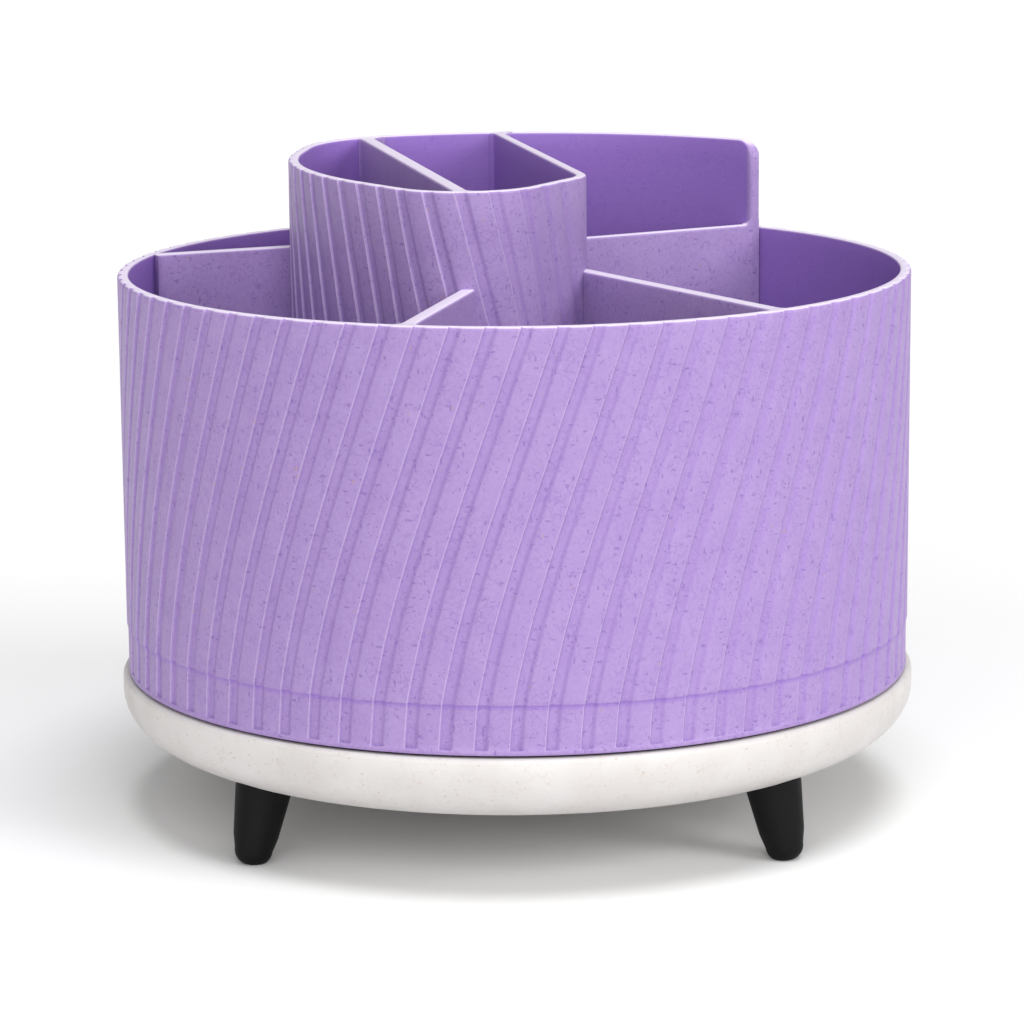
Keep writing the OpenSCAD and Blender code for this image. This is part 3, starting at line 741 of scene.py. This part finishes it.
def lilac_plastic():
    """Moulded lilac plastic with straw fibres: faintly cloudy colour, small darker flecks, thin fibres
    and a few warm ones, painted shade in hollows, along the crease and on the flutes' gentle sides, a painted
    highlight along the flutes' left edges, and painted top light, a paler colour on high faces that look up."""
    m = Nodes("lilac_plastic")
    cloud = m.ramp(m.noise(130, detail=4.0, rough=0.6), 0.2, 0.8)
    fine = m.ramp(m.noise(1500, detail=2.0), 0.25, 0.75)
    mottle = m.math("ADD", m.math("MULTIPLY", cloud, 0.5), m.math("MULTIPLY", fine, 0.5))
    colour = m.mix(mottle, LILAC_DEEP, LILAC)
    fibres = squiggles(m, 560, 0.035, 330, 0.42, 0.55, (0.3, 0.1, 0.7))
    colour = m.mix(m.math("MULTIPLY", fibres, 0.2), colour, LILAC_FLECK)
    small = flecks(m, 900, 0.2, 0.75, (0.2, 0.4, 0.9))
    upright = flecks(m, 760, 0.2, 0.6, (0.6, 0.3, 0.5), (1, 1, 0.4))
    across = flecks(m, 760, 0.2, 0.5, (0.1, 0.7, 0.3), (0.42, 0.42, 1))
    marks = m.math("MAXIMUM", small, m.math("MAXIMUM", upright, across))
    colour = m.mix(m.math("MULTIPLY", marks, 0.45), colour, LILAC_FLECK)
    warm = flecks(m, 380, 0.15, 0.12, (0.9, 0.5, 0.2))
    colour = m.mix(m.math("MULTIPLY", warm, 0.4), colour, STRAW)
    # Painted shade from the inner weights
    colour = m.mix(m.math("MULTIPLY", m.attribute("inner"), 0.75), colour, LILAC_SHADE)
    # Painted highlight along the flutes' left edges
    colour = m.mix(m.math("MULTIPLY", m.attribute("painted_highlight"), 0.3), colour, LILAC_HIGHLIGHT)
    # Painted top light: faces that look up, high on the piece, turn paler
    up = m.tree.nodes.new("ShaderNodeSeparateXYZ")
    m.link(m.tree.nodes.new("ShaderNodeNewGeometry").outputs["Normal"], up.inputs["Vector"])
    high = m.tree.nodes.new("ShaderNodeSeparateXYZ")
    m.link(m.place, high.inputs["Vector"])
    top_light = m.math("MULTIPLY", m.ramp(up.outputs["Z"], 0.5, 0.95), m.ramp(high.outputs["Z"], 0.03, 0.09))
    colour = m.mix(m.math("MULTIPLY", top_light, 0.95), colour, LILAC_HIGHLIGHT)
    m.link(colour, m.shader.inputs["Base Color"])
    rough = m.math("ADD", m.math("MULTIPLY", m.noise(900), 0.12), 0.36)
    m.link(rough, m.shader.inputs["Roughness"])
    dents = m.math("ADD", m.math("MULTIPLY", fibres, 0.5), marks)
    grain = m.math("MULTIPLY", m.noise(1100, detail=3.0), 0.7)
    height = m.math("SUBTRACT", grain, m.math("MULTIPLY", dents, 0.4))
    m.bump(height, 0.2, 0.0002)
    m.set(Specular_IOR_Level=0.25)
    return m.material


def stone_plastic():
    """Off-white plastic with warm straw specks and a slight cloudiness."""
    m = Nodes("stone_plastic")
    cloud = m.ramp(m.noise(60, detail=3.0), 0.35, 0.65)
    colour = m.mix(cloud, STONE_DEEP, STONE)
    tan = squiggles(m, 560, 0.03, 330, 0.46, 0.58, (0.1, 0.6, 0.4))
    colour = m.mix(m.math("MULTIPLY", tan, 0.14), colour, STRAW)
    round_dots = flecks(m, 700, 0.16, 0.4, (0.2, 0.8, 0.1))
    flat_dots = flecks(m, 900, 0.16, 0.4, (0.5, 0.1, 0.6), (0.5, 0.5, 1))
    dots = m.math("MAXIMUM", round_dots, flat_dots)
    colour = m.mix(m.math("MULTIPLY", dots, 0.5), colour, STRAW)
    m.link(colour, m.shader.inputs["Base Color"])
    rough = m.math("ADD", m.math("MULTIPLY", m.noise(700), 0.12), 0.4)
    m.link(rough, m.shader.inputs["Roughness"])
    m.bump(m.noise(1400, detail=3.0), 0.2, 0.00015)
    m.set(IOR=1.5)
    return m.material


def black_plastic():
    """Satin black moulded feet with a fine grain."""
    m = Nodes("black_plastic")
    fine = m.noise(1200, detail=3.0)
    tone = m.mix(m.ramp(fine, 0.3, 0.7), srgb(7, 7, 8), srgb(11, 11, 11))
    m.link(tone, m.shader.inputs["Base Color"])
    m.link(m.math("ADD", m.math("MULTIPLY", fine, 0.15), 0.5), m.shader.inputs["Roughness"])
    m.bump(fine, 0.25, 0.00012)
    m.set(Specular_IOR_Level=0.15)
    return m.material


def metal(name, colour, rough, grain):
    """Bare steel with fine turning marks in its roughness."""
    m = Nodes(name)
    fine = m.noise(grain, detail=4.0)
    darker = tuple(0.9 * c for c in colour[:3]) + (1.0,)
    m.link(m.mix(m.ramp(fine, 0.3, 0.7), colour, darker), m.shader.inputs["Base Color"])
    m.link(m.math("ADD", m.math("MULTIPLY", fine, 0.15), rough), m.shader.inputs["Roughness"])
    m.bump(fine, 0.1, 0.00005)
    m.set(Metallic=1.0)
    return m.material


def acetal():
    """Natural white acetal, slightly glossy."""
    m = Nodes("acetal")
    fine = m.noise(800)
    tone = m.mix(fine, srgb(236, 233, 224), srgb(228, 224, 214))
    m.link(tone, m.shader.inputs["Base Color"])
    m.link(m.math("ADD", m.math("MULTIPLY", fine, 0.1), 0.25), m.shader.inputs["Roughness"])
    m.bump(fine, 0.1, 0.00005)
    return m.material


def floor_paint():
    """Plain pale studio floor."""
    m = Nodes("floor_paint")
    tone = m.mix(m.noise(4), srgb(231, 231, 231), srgb(233, 233, 233))
    m.link(tone, m.shader.inputs["Base Color"])
    m.set(Roughness=0.9)
    m.shader.inputs["Specular IOR Level"].default_value = 0.1
    return m.material


# ---- Studio -----------------------------------------------------------------


def make_camera():
    """Long lens above the rim, looking down by about 12 degrees and turned a little about its own axis."""
    data = bpy.data.cameras.new("camera")
    data.lens = 138.08
    data.sensor_width = 36
    data.clip_start, data.clip_end = 0.05, 50
    camera = bpy.data.objects.new("camera", data)
    pitch, roll = math.radians(11.654), math.radians(-0.496)
    level = Vector((1, 0.00106, 0)).normalized()
    forward = Vector((-0.00106, math.cos(pitch), -math.sin(pitch))).normalized()
    up = level.cross(forward)
    right = level * math.cos(roll) + up * math.sin(roll)
    up = -level * math.sin(roll) + up * math.cos(roll)
    turn = Matrix((right, up, -forward)).transposed().to_4x4()
    camera.matrix_world = Matrix.Translation((0, -0.7689, 0.2158)) @ turn
    bpy.context.scene.collection.objects.link(camera)
    bpy.context.scene.camera = camera


def make_sun(name, way, strength, angle):
    """Very soft far light that comes from the direction way."""
    data = bpy.data.lights.new(name, "SUN")
    data.energy, data.angle = strength, math.radians(angle)
    light = bpy.data.objects.new(name, data)
    light.matrix_world = Vector(way).to_track_quat("Z", "Y").to_matrix().to_4x4()
    bpy.context.scene.collection.objects.link(light)


def make_studio():
    """Pale floor in an even white room: a soft key in front, a side light, a weak fill and one overhead."""
    scene = bpy.context.scene
    scene.view_settings.view_transform = "Standard"
    world = bpy.data.worlds.new("studio")
    scene.world = world
    world.use_nodes = True
    world.node_tree.nodes["Background"].inputs["Color"].default_value = (1, 1, 1, 1)
    world.node_tree.nodes["Background"].inputs["Strength"].default_value = 0.32
    make_sun("key", (0.0, -1.0, 0.4), 1.45, 50)
    make_sun("side", (0.85, -0.5, 0.45), 1.5, 30)
    make_sun("fill", (-0.6, -0.7, 0.35), 0.45, 50)
    make_sun("overhead", (0.1, -0.15, 1), 1.8, 30)
    half = 6.0
    points = np.array([[-half, -half, 0], [half, -half, 0], [half, half, 0], [-half, half, 0]]) / MM
    mesh = bpy.data.meshes.new("floor")
    mesh.from_pydata((points * MM).tolist(), [], [(0, 1, 2, 3)])
    mesh.materials.append(floor_paint())
    floor = bpy.data.objects.new("floor", mesh)
    scene.collection.objects.link(floor)


# ---- Everything -------------------------------------------------------------

make_camera()
make_studio()
lilac = lilac_plastic()
stone = stone_plastic()
black = black_plastic()
hardware = {"race_steel": metal("race_steel", srgb(190, 190, 194), 0.3, 900),
            "ball_steel": metal("ball_steel", srgb(205, 205, 208), 0.1, 400),
            "zinc_steel": metal("zinc_steel", srgb(184, 186, 190), 0.32, 1500),
            "acetal": acetal(), "stone_plastic": stone}
make_drum(lilac)
make_insert(lilac)
make_dividers(lilac)
smooth_copy("base_bowl", "base_bowl_skin", stone, "base")
feet = ("foot_rear_right", "foot_rear_left", "foot_front_left", "foot_front_right")
for quarter, foot in enumerate(feet):
    make_foot(foot, math.radians(45 + 90 * quarter), black)
for row in frame["record"]["subparts"]:
    node = frame["nodes"][row["node"]]
    if row["material_slot"] in hardware and not node.hide_render:
        for k in range(len(node.material_slots)):
            node.material_slots[k].material = hardware[row["material_slot"]]
